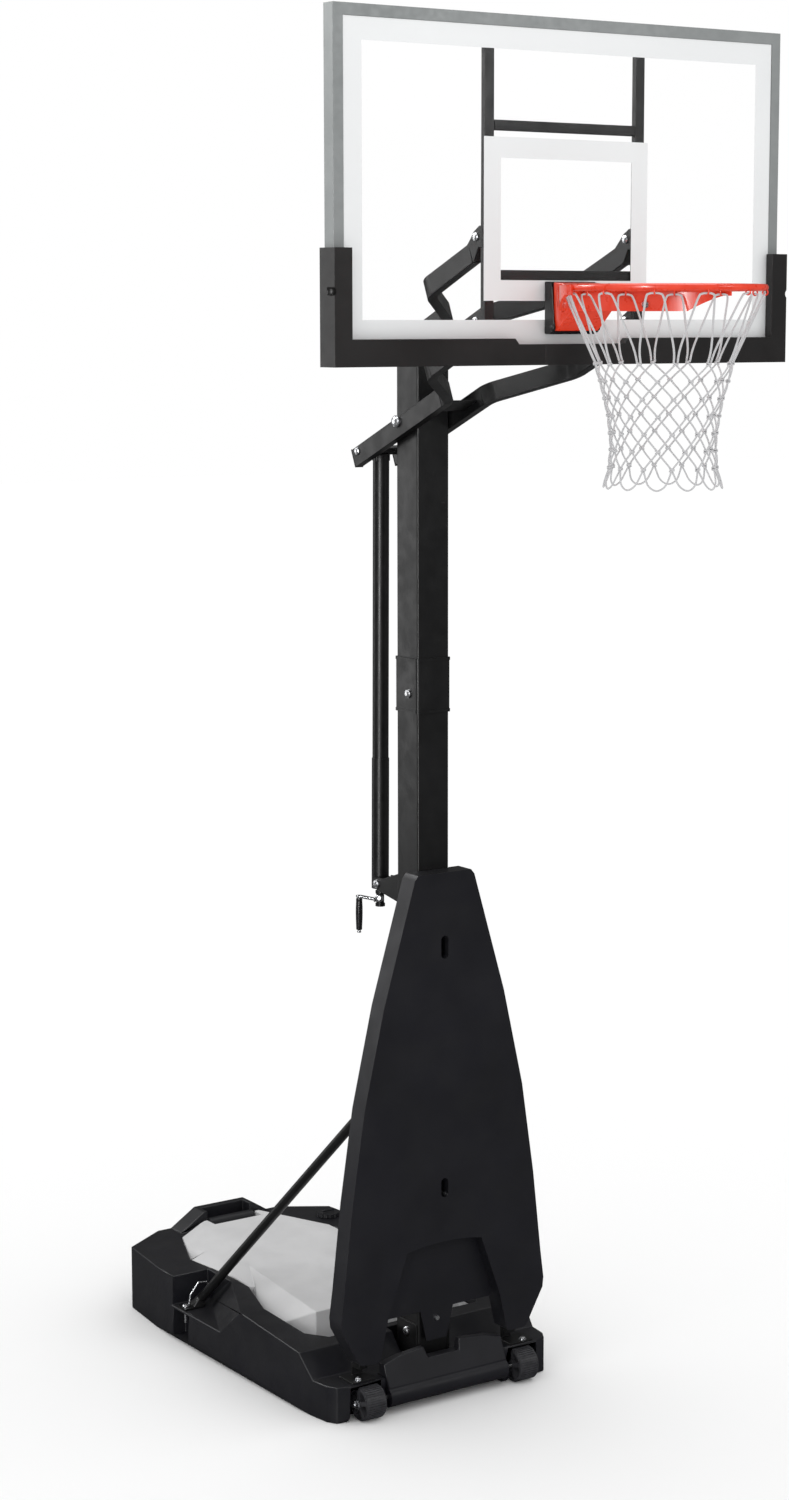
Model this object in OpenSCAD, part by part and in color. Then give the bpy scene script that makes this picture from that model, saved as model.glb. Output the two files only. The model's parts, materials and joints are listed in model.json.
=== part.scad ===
// Portable basketball hoop: wheeled ballast base, square pole, parallelogram lift
// with a screw jack, acrylic board and breakaway rim. Millimetres, +Z up.
// Origin: on the floor under the pole's axis. The playing side faces -Y.

/* [Pole] */
// Side of the square pole
pole_w = 101.6; // [95:0.1:110]
// Wall of the pole tube
pole_wall = 2.5; // [2:0.5:4]
// Height of the bottom end of the pole
pole_bottom_z = 110; // [105:1:115]
// Height where the two pole sections meet
pole_joint_z = 1990; // [1900:1:2100]
// Height of the top end of the pole
pole_top_z = 2944; // [2935:1:2955]
// Length of the sleeve over the pole joint
coupler_len = 148; // [120:1:180]

/* [Lift] */
// Height of the lower arm pivot on the pole
pivot_z = 2696; // [2680:1:2710]
// Vertical distance between the lower and the upper arm pivots
pivot_gap = 203; // [195:1:210]
// Distance of the arm pivots behind the pole's axis
pivot_y = 8; // [5:1:12]
// Distance of the board pivots in front of the pole's axis
reach = 587.6; // [580:0.2:595]
// Height gained by the lower arms from the pole pivot to the board pivot
rise = 265.2; // [255:0.2:270]
// Height of the rectangular arm tube
arm_h = 50; // [44:1:54]
// Width of the rectangular arm tube
arm_t = 25; // [22:0.5:26]
// Distance from the pole pivot back to the jack pivot
tail = 210; // [205:1:215]
// Distance of the arm tubes from the centre at the pole
arm_in = 65.5; // [65:0.5:68]
// Distance of the arm tubes from the centre at the board
arm_out = 232; // [225:0.5:240]

/* [Board] */
// Width of the board over its trim
board_w = 1372; // [1360:1:1380]
// Height of the board's lower edge
board_bottom_z = 2856; // [2850:1:2865]
// Height of the board's upper edge
board_top_z = 3692; // [3680:1:3700]
// Distance of the board's front face in front of the pole's axis
board_front = 630; // [628:1:634]
// Width of the trim's front face
trim_w = 29; // [25:1:32]
// Depth of the trim
trim_d = 40; // [36:1:44]

/* [Rim] */
// Inside diameter of the ring
ring_id = 457; // [450:1:460]
// Diameter of the ring's rod
rod_d = 16; // [15:0.5:18]
// Height of the ring's top
rim_z = 3048; // [3040:1:3055]
// Distance from the board's face to the ring's centre
ring_reach = 381; // [375:1:385]

/* [Base] */
// Half width of the base at its widest
base_half = 390; // [385:1:395]
// Distance of the base's back behind the pole's axis
base_back = 1125; // [1115:1:1135]
// Diameter of the transport wheels
wheel_d = 94; // [90:0.5:96]
// Width of a transport wheel
wheel_w = 66; // [60:1:68]

/* [Hidden] */

black = "#242426";
plastic = "#222227";
steel = "#c9c9cc";
red = "#f03c20";
fine = 64;

pw = pole_w / 2;
front_z = pivot_z + rise;                 // height of the lower board pivot
arm_len = sqrt(pow(reach + pivot_y, 2) + rise * rise);
pivot_angle = atan2(rise, reach + pivot_y);
bend_start = 232;                         // where the arms turn outward
bend_r = 58;                              // centreline radius of the arm bends
arm_drop = 15;                            // the tubes run below the pivots at the pole
arm_flat = 0.95;                          // and rise this many degrees less than the pivot line
board_back = board_front - trim_d;
upright_half = 14;
upright_x = arm_out;
upright_d = 16;
upright_y = -(board_front - 8 - upright_d / 2);   // uprights stand behind the clear panel
ring_y = -(board_front + ring_reach);
ring_r = (ring_id + rod_d) / 2;
ring_z = rim_z - rod_d / 2;
jack_foot_y = 184;                        // pivot of the jack's foot
jack_foot_z = 1411;
tail_y = pivot_y + tail * cos(pivot_angle);
tail_z = pivot_z - tail * sin(pivot_angle);
jack_base_y = 210;                        // the tubes stand behind the foot's pivot
jack_lean = atan2(jack_base_y - tail_y, tail_z - jack_foot_z);
jack_len = norm([jack_base_y - tail_y, tail_z - jack_foot_z]);
wheel_y = -110;
wheel_z = wheel_d / 2 + 0.6;
well_x = 266.5;
well_w = 95;
wheel_x = 257.5;
strut_d = 28;
foot_z = 102;                             // ledge that the struts stand on
strut_bolt = [368, 690];                  // bolt at the foot of each strut
strut_low = [316, 697, 116];              // lower end of the right strut's axis
strut_top = [79.4, 96, 841];              // upper end of it
strut_pin = [36, 880];                    // bolt that holds both struts on the pole
leg_bolt = [278, -92];
leg_pin = [-20, 1170];
cover_y = -105;                           // front face of the pole cover
panel_y = -66;                            // front face of the cover's sunk panel
cover_d = 60;
cover_wall = 4;
gap = 0.3;                                // clearance between moving faces

// ---------- helpers ----------

// a bar with a side outline in Y and Z, w wide and centred on x
module side_bar(w, x = 0) {
  translate([x, 0, 0]) rotate([90, 0, 90]) linear_extrude(w, center = true) children();
}

// a slab with a front outline in X and Z, from y0 back to y0 + d
module front_slab(d, y0) {
  translate([0, y0 + d, 0]) rotate([90, 0, 0]) linear_extrude(d) children();
}

module rod_x(r, len, x = 0, y = 0, z = 0) {
  translate([x, y, z]) rotate([0, 90, 0]) cylinder(r = r, h = len, center = true, $fn = fine);
}

module box_at(x, y, z, size) {
  translate([x, y, z]) cube(size, center = true);
}

// hexagon nut or bolt head, across = distance over the flats, axis along X, dir = -1 or 1
module hex_x(across, h, x, y, z, dir = 1) {
  translate([x, y, z]) rotate([0, 90 * dir, 0]) cylinder(d = across / cos(30), h = h, $fn = 6);
}

// domed bolt head on an axis along X
module dome_x(r, h, x, y, z, dir = 1) {
  translate([x, y, z]) rotate([0, 90 * dir, 0]) rotate_extrude($fn = fine)
    polygon([[0, 0], [r, 0], [r, h * 0.4], [r * 0.82, h * 0.8], [r * 0.4, h], [0, h]]);
}

// points of a closed outline moved inward by t
function unit(v) = v / norm(v);
function inward(a, b) = unit([a[1] - b[1], b[0] - a[0]]);
function inset(p, t) = [for (i = [0:len(p) - 1])
  let (n = len(p), a = p[(i + n - 1) % n], b = p[i], c = p[(i + 1) % n],
       m = inward(a, b), k = inward(b, c))
  b + t * (m + k) / (1 + m * k)];

// a half outline, from +X, closed by its mirror image, counter-clockwise
function whole(half) = concat(half,
  [for (i = [len(half) - 1:-1:0]) if (half[i][0] > 0.01) [-half[i][0], half[i][1]]]);

// rounded square outline
module round_square(w, r) {
  union() {
    square([w, w - 2 * r], center = true);
    square([w - 2 * r, w], center = true);
    for (x = [-1, 1], y = [-1, 1])
      translate([x * (w / 2 - r), y * (w / 2 - r)]) circle(r = r, $fn = 32);
  }
}

module square_tube(w, wall, r, z0, z1) {
  translate([0, 0, z0]) linear_extrude(z1 - z0) difference() {
    round_square(w, r);
    round_square(w - 2 * wall, r - wall + 0.5);
  }
}

// ---------- base ----------

tank_half = [[0, -70], [199, -70], [199, -109], [312, -109], [350, -97], [367, -68],
  [385, 60], [base_half, 400], [base_half, 741], [355, 1040], [215, base_back], [0, base_back]];
basin_half = [[0, 99], [250, 99], [296, 152], [304, 354], [243, 538], [241, 611], [249, 733],
  [262, 846], [180, 1040], [90, 1052], [0, 1052]];

// the pocket beside each strut foot: its front wall leans along a slanting ridge
module strut_pocket(side) {
  ridge = 64.7;
  mirror([side < 0 ? 1 : 0, 0, 0]) intersection() {
    translate([base_half - 5, 348, 0]) rotate([0, 0, 90 - ridge])
      rotate([90, 0, 0]) linear_extrude(900, center = true)
        polygon([[0, 188.5], [0, 260], [420, 260], [420, foot_z], [50, foot_z]]);
    translate([262, 300, foot_z]) cube([146, 441, 200]);
  }
}

// rounded bar of the hand grip, with a slot for the fingers behind it
grip_half = 75;
grip_r = 18;
module hand_grip() rod_x(grip_r, 2 * grip_half + 6, 0, base_back - 73, 209);

module base_tank() color(plastic) {
  tank_body();
  hand_grip();
}

module tank_body() difference() {
  union() {
    intersection() {
      linear_extrude(260) polygon(whole(tank_half));
      side_bar(2 * base_half + 20)
        polygon([[-97, 0], [-109, 12], [-109, 98], [-104, 103], [-12, 103], [46, 166], [342, 187], [741, 188],
                 [1040, 192], [base_back, 194], [base_back, 14], [base_back - 14, 0]]);
      front_slab(base_back + 400, -200)
        polygon([[-376, 0], [-base_half, 18], [-base_half, 60], [-380, 186], [-372, 230],
                 [372, 230], [380, 186], [base_half, 60], [base_half, 18], [376, 0]]);
    }
    // raised hump that carries the hand grip
    front_slab(66, base_back - 66)
      polygon([[-170, 180], [-170, 194], [-87, 247], [87, 247], [170, 194], [170, 180]]);
  }
  translate([0, 0, 30]) linear_extrude(300) polygon(whole(basin_half));
  for (s = [-1, 1]) {
    strut_pocket(s);
    // opening under the strut ledge
    translate([s > 0 ? 346 : -446, 640, 16]) cube([100, 90, foot_z - 24]);
    // wheel well, wide enough for the axle nut
    translate([s * well_x, wheel_y, wheel_z]) rotate([0, 90, 0])
      cylinder(r = wheel_d / 2 + 2.2, h = well_w, center = true, $fn = fine);
    translate([s * well_x, wheel_y, 20]) cube([well_w, wheel_d + 4.4, 60], center = true);
    translate([s * leg_bolt[0], leg_bolt[1], 80]) cylinder(r = 5.3, h = 60, $fn = fine);
    translate([s * strut_bolt[0], strut_bolt[1], 60]) cylinder(r = 5.3, h = 60, $fn = fine);
  }
  // channel for the axle
  rod_x(6.3, 2 * well_x, 0, wheel_y, wheel_z);
  // slot for the fingers behind the grip bar
  translate([-grip_half, base_back - 92, 166]) cube([2 * grip_half, 67, 120]);
  // seat of the pole foot and of the filler cap
  translate([-74, -80, 103]) cube([148, 155, 120]);
  translate([300, 960, 176]) cylinder(r = 29.6, h = 40, $fn = fine);
}

module ballast_insert() color("#c4c4c6") {
  floor_z = 31;
  rim_z = 184;
  difference() {
    intersection() {
      translate([0, 0, floor_z]) linear_extrude(250) polygon(inset(whole(basin_half), 1.2));
      union() {
        translate([-350, 90, floor_z]) cube([700, 1000, 96]);
        // front block with leaning sides
        hull() {
          translate([0, 0, 124]) linear_extrude(4)
            polygon([[-246, 172], [-300, 352], [-244, 540], [244, 540], [300, 352], [246, 172]]);
          translate([0, 0, 209]) linear_extrude(4)
            polygon([[-238, 186], [-186, 628], [186, 628], [238, 186]]);
        }
        // back part: flush with the tank's rim, rising to the grip
        hull() {
          translate([0, 0, 120]) linear_extrude(rim_z - 120)
            polygon([[-244, 536], [-244, 611], [-264, 846], [-180, 1060], [180, 1060], [264, 846],
                     [244, 611], [244, 536]]);
          translate([0, 0, 209]) linear_extrude(4) polygon([[-186, 628], [-216, 824], [216, 824], [186, 628]]);
          translate([0, 0, 220]) linear_extrude(4) polygon([[-96, 1046], [96, 1046], [110, 900], [-110, 900]]);
        }
      }
    }
    // recess for fingers in front of the grip bar
    translate([-grip_half - 9, base_back - 125, 176]) cube([2 * grip_half + 18, 80, 80]);
  }
}

module filler_cap() color(plastic) translate([300, 960, 0]) {
  translate([0, 0, 176.3]) cylinder(r = 29, h = 17, $fn = fine);
  difference() {
    translate([0, 0, 192.5]) cylinder(r = 36, h = 11, $fn = fine);
    for (a = [0:30:330]) rotate(a) translate([38.5, 0, 191]) cylinder(r = 5, h = 14, $fn = 24);
  }
  box_at(0, 0, 207, [44, 9, 9]);
}

module front_crossbar() color(plastic) difference() {
  union() {
    intersection() {
      side_bar(396)
        polygon([[-72, 24], [-72, 158], [-88, 158], [-124, 78], [-124, 24]]);
      front_slab(80, -140)
        polygon([[-198, 22], [-198, 136], [-150, 148], [-60, 157], [-52, 128], [52, 128],
                 [60, 157], [150, 148], [198, 136], [198, 22]]);
    }
    rod_x(28, 396, 0, wheel_y, wheel_z);
  }
  rod_x(6.2, 420, 0, wheel_y, wheel_z);
}

module wheel_axle() color(steel) rod_x(6, 614, 0, wheel_y, wheel_z);

module axle_nuts() color(steel) for (s = [-1, 1]) difference() {
  union() {
    hex_x(19, 10, s * 294.4, wheel_y, wheel_z, s);
    rod_x(12.5, 2.4, s * 293.3, wheel_y, wheel_z);
  }
  rod_x(6.02, 60, s * 300, wheel_y, wheel_z);
}

module wheel(side) color("#26262a") translate([side * wheel_x, wheel_y, wheel_z]) {
  ribs = 44;
  rotate([0, 90, 0]) difference() {
    union() {
      cylinder(r = wheel_d / 2 - 2.2, h = wheel_w - 4, center = true, $fn = fine);
      cylinder(r = wheel_d / 2 - 5, h = wheel_w, center = true, $fn = fine);
      for (i = [0:ribs - 1]) rotate(i * 360 / ribs)
        translate([wheel_d / 2 - 2.6, 0, 0]) cube([5.2, 3.4, wheel_w - 10], center = true);
    }
    // dished faces with spokes left standing
    for (s = [-1, 1], i = [0:4]) rotate(i * 72) translate([0, 0, s * (wheel_w / 2 - 7)])
      linear_extrude(16, center = true)
        polygon([[15, -4], [36, -18], [40, -10], [41, 0], [40, 10], [36, 18], [15, 4]]);
    cylinder(r = 6.05, h = wheel_w + 4, center = true, $fn = fine);
  }
}
module wheel_left() wheel(-1);
module wheel_right() wheel(1);

// ---------- pole stand ----------

// a leg of folded plate from the pole down to the base's front corner
module leg(s) color(black) {
  top = [s * (pw + 21), -20, 1180];
  low = [s * 252, -58, 128];
  d = low - top;
  length = norm(d);
  difference() {
    union() {
      translate(top) rotate([0, acos(d[2] / length), atan2(d[1], d[0])])
        translate([-16, -3, 0]) difference() {
          translate([0, -12, 0]) cube([32, 30, length]);
          translate([3, -9, -1]) cube([32, 24, length + 2]);
        }
      // foot plate that bolts on the base
      box_at(s * 266, -69, 105.9, [76, 70, 5]);
      box_at(s * 252, -46, 124, [34, 5, 38]);
      // lug on the pole's side
      translate([s * (pw + 0.3), -38, 1140]) mirror([s < 0 ? 1 : 0, 0, 0]) cube([5, 44, 60]);
    }
    translate([s * leg_bolt[0], leg_bolt[1], 90]) cylinder(r = 5.3, h = 60, $fn = fine);
    rod_x(5.3, 60, s * (pw + 8), leg_pin[0], leg_pin[1]);
  }
}
module leg_left() leg(-1);
module leg_right() leg(1);

module leg_bolts() color(steel) for (s = [-1, 1]) {
  translate([s * leg_bolt[0], leg_bolt[1], 97.5]) cylinder(r = 5, h = 13, $fn = fine);
  translate([s * leg_bolt[0], leg_bolt[1], 108.6]) cylinder(r = 11, h = 1.6, $fn = fine);
  translate([s * leg_bolt[0], leg_bolt[1], 110]) rotate_extrude($fn = fine)
    polygon([[0, 0], [8.5, 0], [8.5, 3], [6.5, 6], [3, 7], [0, 7]]);
}

module pole_foot() color(black) difference() {
  union() {
    box_at(0, 1, 106.3, [140, 142, 6]);
    for (s = [-1, 1]) box_at(s * (pw + 3), 0, 155, [5, 96, 100]);
  }
  rod_x(6.2, 200, 0, 0, 176);
  for (x = [-1, 1], y = [-1, 1]) translate([x * 56, y * 62, 100]) cylinder(r = 5, h = 40, $fn = fine);
}

module through_bolt(r, half, y, z) {
  rod_x(r, 2 * half + 14, 3, y, z);
  dome_x(2 * r, 1.3 * r, -half, y, z, -1);
  hex_x(3.2 * r, 1.5 * r, half, y, z, 1);
}

module strut(s) color(black) {
  low = [s * strut_low[0], strut_low[1], strut_low[2]];
  top = [s * strut_top[0], strut_top[1], strut_top[2]];
  d = top - low;
  length = norm(d);
  difference() {
    union() {
      translate(low) rotate([0, acos(d[2] / length), atan2(d[1], d[0])])
        cylinder(d = strut_d, h = length, $fn = 48);
      // flattened foot
      box_at(s * 350, strut_bolt[1], foot_z + 3, [62, 44, 5]);
      hull() {
        translate(low + [0, 0, 4]) sphere(d = strut_d - 2, $fn = 24);
        box_at(s * 331, 690, foot_z + 4, [34, 34, 4]);
      }
      // head: drawn in to a flat eye on the pole's side
      hull() {
        strut_eye(s, 15, 64, 866);
        translate(top) sphere(d = strut_d - 1, $fn = 24);
      }
      hull() {
        strut_eye(s, 15, 64, 866);
        strut_eye(s, 16, strut_pin[0], strut_pin[1]);
      }
    }
    translate([s * strut_bolt[0], strut_bolt[1], 90]) cylinder(r = 5.3, h = 60, $fn = fine);
    rod_x(6.2, 80, s * (pw + 8), strut_pin[0], strut_pin[1]);
    translate([s > 0 ? pw - 40 : -pw, -60, 700]) cube([40.3, 160, 260]);
    translate([s > 0 ? 290 : -400, 600, 60]) cube([110, 200, foot_z - 59.6]);
  }
}
module strut_eye(s, r, y, z) translate([s * (pw + 4), y, z]) rotate([0, 90, 0])
  cylinder(r = r, h = 6, center = true, $fn = 32);
module strut_left() strut(-1);
module strut_right() strut(1);

module strut_bolts() color(steel) {
  for (s = [-1, 1]) translate([s * strut_bolt[0], strut_bolt[1], 0]) {
    translate([0, 0, 60]) cylinder(r = 5, h = 50, $fn = fine);
    translate([0, 0, foot_z + 6]) rotate_extrude($fn = fine)
      polygon([[0, 0], [10, 0], [10, 3], [7, 7], [3, 8], [0, 8]]);
  }
  rod_x(6, 2 * pw + 20, 0, strut_pin[0], strut_pin[1]);
  for (s = [-1, 1]) dome_x(11, 7, s * (pw + 7.4), strut_pin[0], strut_pin[1], s);
}

// wire loop that locks each strut bolt
module strut_bails() color(steel) for (s = [-1, 1]) {
  wire = 2.5;
  path = [[s * 354, 694, 112], [s * 350, 694, 138], [s * 322, 694, 171], [s * 296, 694, 168],
          [s * 286, 696, 152], [s * 290, 700, 128]];
  for (i = [0:len(path) - 2]) let (d = path[i + 1] - path[i])
    translate(path[i]) rotate([0, acos(d[2] / norm(d)), atan2(d[1], d[0])])
      cylinder(r = wire, h = norm(d), $fn = 16);
  for (p = path) translate(p) sphere(r = wire + 0.2, $fn = 16);
}

// ---------- pole cover ----------

cover_half = [[0, 452], [40, 451], [84, 447], [125, 440], [188, 265], [213, 156], [222, 150],
  [272, 150], [282, 156], [338, 256], [341, 284], [330, 365], [303, 600], [263, 860],
  [199, 1136], [98, 1473], [87, 1486], [0, 1486]];
cover_out = whole(cover_half);
arch_in = whole([[0, 249], [182, 249], [188, 265], [125, 440], [84, 447], [40, 451], [0, 452]]);
tab_in = [[-58, 262], [-34, 160], [34, 160], [58, 262]];

module slot(w, h, z, y0, d) {
  front_slab(d, y0) union() {
    translate([-w / 2, z - h / 2 + w / 2]) square([w, h - w]);
    for (s = [-1, 1]) translate([0, z + s * (h / 2 - w / 2)]) circle(r = w / 2, $fn = 40);
  }
}

module front_cover() color(plastic) difference() {
  union() {
    difference() {
      front_slab(cover_d, cover_y) polygon(cover_out);
      front_slab(cover_d, cover_y + cover_wall) polygon(inset(cover_out, cover_wall));
    }
    // sunk panel under the arch, with the tab that bolts to the pole
    front_slab(4, panel_y) polygon(arch_in);
    front_slab(4, panel_y) polygon(tab_in);
    for (z = [1280, 605]) slot(36, z > 1000 ? 76 : 66, z, cover_y + 1, 45);
  }
  slot(24, 64, 1280, cover_y - 1, 43);
  slot(24, 54, 605, cover_y - 1, 43);
  for (z = [1270, 596]) translate([0, -70, z]) rotate([-90, 0, 0]) cylinder(r = 5.2, h = 30, $fn = fine);
  translate([0, -70, 222]) rotate([-90, 0, 0]) cylinder(r = 5.2, h = 30, $fn = fine);
  // room for the pole and the legs
  translate([-pw - 2, -pw - 1.2, 100]) cube([2 * pw + 4, 100, 1400]);
  for (s = [-1, 1]) box_at(s * 248, -58, 152, [52, 50, 12]);
}

module cover_bolts() color(steel) for (p = [[-63.2, 1270], [-63.2, 596], [panel_y - 0.2, 222]])
  translate([0, p[0], p[1]]) rotate([-90, 0, 0]) {
    cylinder(r = 5, h = -pw - p[0] + 10, $fn = fine);
    translate([0, 0, -5]) cylinder(d = 14, h = 5, $fn = 6);
  }

// ---------- pole ----------

module cover_bolt_holes() for (z = [1270, 596, 222])
  translate([0, -pw - 10, z]) rotate([-90, 0, 0]) cylinder(r = 5.2, h = 30, $fn = fine);

module lower_pole() color(black) difference() {
  square_tube(pole_w, pole_wall, 6, pole_bottom_z, pole_joint_z - 0.5);
  rod_x(6.2, 200, 0, 0, 176);
  rod_x(5.3, 200, 0, leg_pin[0], leg_pin[1]);
  rod_x(6.2, 200, 0, strut_pin[0], strut_pin[1]);
  rod_x(6.2, 200, 0, -10, 1967);
  cover_bolt_holes();
}

module upper_pole() color(black) difference() {
  square_tube(pole_w, pole_wall, 6, pole_joint_z + 0.5, pole_top_z);
  rod_x(8.1, 200, 0, pivot_y, pivot_z);
  rod_x(8.1, 200, 0, pivot_y, pivot_z + pivot_gap);
}

module pole_coupler() color(black) difference() {
  union() {
    square_tube(pole_w + 7, 3.2, 9, pole_joint_z - coupler_len / 2, pole_joint_z + coupler_len / 2);
    for (s = [-1, 1]) translate([0, 0, pole_joint_z + s * (coupler_len / 2 - 4) - 4])
      linear_extrude(8) difference() {
        round_square(pole_w + 10, 10);
        round_square(pole_w + 0.6, 7);
      }
  }
  rod_x(6.2, 200, 0, -10, 1967);
}

// the 12 mm bolts of the pole foot, the coupler and the jack's foot
module through_bolts() color(steel) {
  through_bolt(6, pw + 5.8, 0, 176);
  through_bolt(6, pw + 3.8, -10, 1967);
  through_bolt(6, 30.2, jack_foot_y, jack_foot_z);
}

module pole_cap() color(plastic) {
  translate([0, 0, pole_top_z]) linear_extrude(4) round_square(pole_w + 2, 8);
  translate([0, 0, pole_top_z - 18]) linear_extrude(18.5) difference() {
    round_square(pole_w - 2 * pole_wall - 0.6, 4);
    round_square(pole_w - 2 * pole_wall - 7, 2);
  }
}

module jack_bracket() color(black) difference() {
  for (s = [-1, 1]) side_bar(3.4, s * 28.2)
    polygon([[pw + 0.2, 1372], [pw + 0.2, 1466], [150, 1431], [198, 1428], [200, 1398], [180, 1394]]);
  rod_x(6.2, 100, 0, jack_foot_y, jack_foot_z);
}

module pole_pivot_bolts() color(steel)
  for (z = [pivot_z, pivot_z + pivot_gap]) through_bolt(8, arm_in + arm_t / 2 + 0.6, pivot_y, z);

// ---------- lift arms ----------

// plan of one bent arm: first straight, 45 degrees outward, straight again
module arm_plan(s0, s1, half, extra) {
  shift = arm_out - arm_in;
  t = half - extra;
  turn = bend_r * tan(22.5);
  b = bend_start;
  e = bend_start + shift;
  union() {
    translate([arm_in - t, s0]) square([2 * t, b - turn - s0]);
    translate([arm_out - t, e + turn]) square([2 * t, s1 - e - turn]);
    // first bend turns outward about a centre on the outer side
    arm_bend([arm_in + bend_r, b - turn], bend_r, t, 135, 180);
    // second bend turns back about a centre on the inner side
    arm_bend([arm_out - bend_r, e + turn], bend_r, t, -45, 0);
    translate([arm_in, b]) rotate(-45) translate([-t, turn])
      square([2 * t, shift * sqrt(2) - 2 * turn]);
  }
}

// a ring sector of width 2t, from angle a0 to a1
module arm_bend(c, r, t, a0, a1) translate(c) difference() {
  intersection() {
    circle(r = r + t, $fn = 96);
    polygon([[0, 0], 200 * [cos(a0), sin(a0)], 200 * [cos((a0 + a1) / 2), sin((a0 + a1) / 2)],
             200 * [cos(a1), sin(a1)]]);
  }
  circle(r = r - t, $fn = 96);
}

// the plan, laid in the arm's own plane and tilted up to the front
module in_arm_plane(z, s) {
  translate([0, pivot_y, z]) rotate([-pivot_angle + arm_flat, 0, 0]) mirror([0, 1, 0])
    mirror([s < 0 ? 1 : 0, 0, 0]) children();
}

module arm(s, z, s0, s1, tail_hole) color(black) difference() {
  union() {
    in_arm_plane(z, s) translate([0, 0, -arm_h / 2 - arm_drop]) difference() {
      linear_extrude(arm_h) arm_plan(s0, s1, arm_t / 2, 0);
      translate([0, 0, 2]) linear_extrude(arm_h - 4) arm_plan(s0 - 1, s1 - 14, arm_t / 2, 2);
    }
    // knuckle that rises to the board pivot
    rod_x(17.6, arm_t, s * arm_out, -reach, z + rise);
    side_bar(arm_t, s * arm_out) knuckle_web(z + rise);
  }
  rod_x(8.1, 60, s * arm_in, pivot_y, z);
  rod_x(8.1, 60, s * arm_out, -reach, z + rise);
  if (tail_hole) rod_x(8.1, 60, s * arm_in, tail_y, tail_z);
}

// web between the tube's end, which lies lower, and the round knuckle
module knuckle_web(z) {
  up = [sin(pivot_angle), cos(pivot_angle)];
  back = [cos(pivot_angle), -sin(pivot_angle)];
  c = [-reach, z];
  polygon([c + 16.8 * up + 5 * back, c - 1 * up + 50 * back, c - 49 * up + 46 * back,
           c - 50 * up + 34 * back, c - 9 * up - 14.8 * back]);
}

module lower_arm(s) arm(s, pivot_z, -236, arm_len - 40, true);
module upper_arm(s) arm(s, pivot_z + pivot_gap, -26, arm_len - 40, false);
module lower_arm_left() lower_arm(-1);
module lower_arm_right() lower_arm(1);
module upper_arm_left() upper_arm(-1);
module upper_arm_right() upper_arm(1);

// flat plate that ties the two lower arms in front of the pole
module arm_cross_plate() color(black) in_arm_plane(pivot_z, 1)
  translate([-arm_in + arm_t / 2 + 0.1, 121, -20]) cube([2 * arm_in - arm_t - 0.2, 69, 4]);

// two stub bolts, one welded through the rear end of each lower arm
module rear_stub_bolts() color(steel) for (s = [-1, 1]) {
  rod_x(8, arm_t + 1, s * (arm_in + 0.3), tail_y, tail_z);
  dome_x(11, 6, s * (arm_in + arm_t / 2 + 0.2), tail_y, tail_z, s);
}

// ---------- screw jack ----------

// children stand upright at the foot of the jack's axis and lean with it
module on_jack(z = 0) {
  translate([0, jack_base_y, jack_foot_z]) rotate([jack_lean, 0, 0]) translate([0, 0, z]) children();
}

module jack_outer_tube() color(black) on_jack(26.2) difference() {
  cylinder(d = 48.4, h = 323, $fn = fine);
  translate([0, 0, -1]) cylinder(d = 45.2, h = 330, $fn = fine);
}

// cast foot: socket under the tube with a lug that reaches forward to the pivot
module jack_foot() color(black) difference() {
  union() {
    on_jack(-18) cylinder(d = 48.4, h = 44, $fn = fine);
    on_jack(25) cylinder(d = 45, h = 14, $fn = fine);
    rod_x(14, 47, 0, jack_foot_y, jack_foot_z);
    box_at(0, jack_foot_y + 13, jack_foot_z, [47, 26, 28]);
  }
  rod_x(6.05, 80, 0, jack_foot_y, jack_foot_z);
  on_jack(-30) cylinder(r = 8.1, h = 80, $fn = fine);
}

module jack_inner_tube() color(black) on_jack(62) difference() {
  cylinder(d = 45, h = jack_len - 90, $fn = fine);
  translate([0, 0, -1]) cylinder(d = 40, h = jack_len - 95, $fn = fine);
}

// eye on top of the inner tube: two ears with a cross sleeve between the arms
module jack_eye() color(black) on_jack(jack_len) difference() {
  union() {
    rod_x(12.5, 2 * arm_in - arm_t - 0.6);
    for (s = [-1, 1]) box_at(s * 18, 0, -14, [6, 25, 28]);
    translate([0, 0, -28]) cylinder(d = 45, h = 15, $fn = fine);
  }
  rod_x(8.1, 200);
}

module jack_nut() color("#b08d3c") on_jack(64) difference() {
  cylinder(d = 39.9, h = 34, $fn = fine);
  translate([0, 0, -1]) cylinder(r = 9.6, h = 40, $fn = fine);
}

module jack_screw() color(steel) on_jack() {
  translate([0, 0, -52]) cylinder(r = 8, h = 396, $fn = fine);
  for (i = [0:49]) translate([0, 0, 44 + i * 6]) cylinder(r = 9.4, h = 3, $fn = fine);
}

crank_len = 80;
crank_turn = 104;                         // heading of the crank in the rest pose
module at_crank() on_jack(-48) rotate(crank_turn) children();

module crank_hub() color(black) at_crank() {
  difference() {
    union() {
      translate([0, 0, -22]) cylinder(r = 11, h = 44, $fn = fine);
      for (z = [-22, 14]) translate([0, 0, z]) cylinder(r = 13.5, h = 8, $fn = fine);
    }
    translate([0, 0, -4]) cylinder(r = 8.05, h = 40, $fn = fine);
  }
}

// bolt across the hub, the arm's clamp plate, the arm and the pin of its grip
module crank_arm() color(steel) at_crank() {
  rotate(121) translate([11.2, 0, 2]) rotate([0, 90, 0]) rotate_extrude($fn = fine)
    polygon([[0, 0], [11, 0], [11, 4], [9, 7], [4, 9], [0, 9]]);
  translate([12, -9, -8.5]) cube([crank_len - 12, 18, 5]);
  translate([13.8, -9, -12]) cube([3, 18, 14]);
  translate([crank_len, 0, -8.5]) cylinder(r = 9, h = 5, $fn = fine);
  translate([crank_len, 0, -110]) cylinder(r = 4, h = 104, $fn = fine);
  translate([crank_len, 0, -110]) cylinder(r = 5.5, h = 4, $fn = fine);
}

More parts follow.
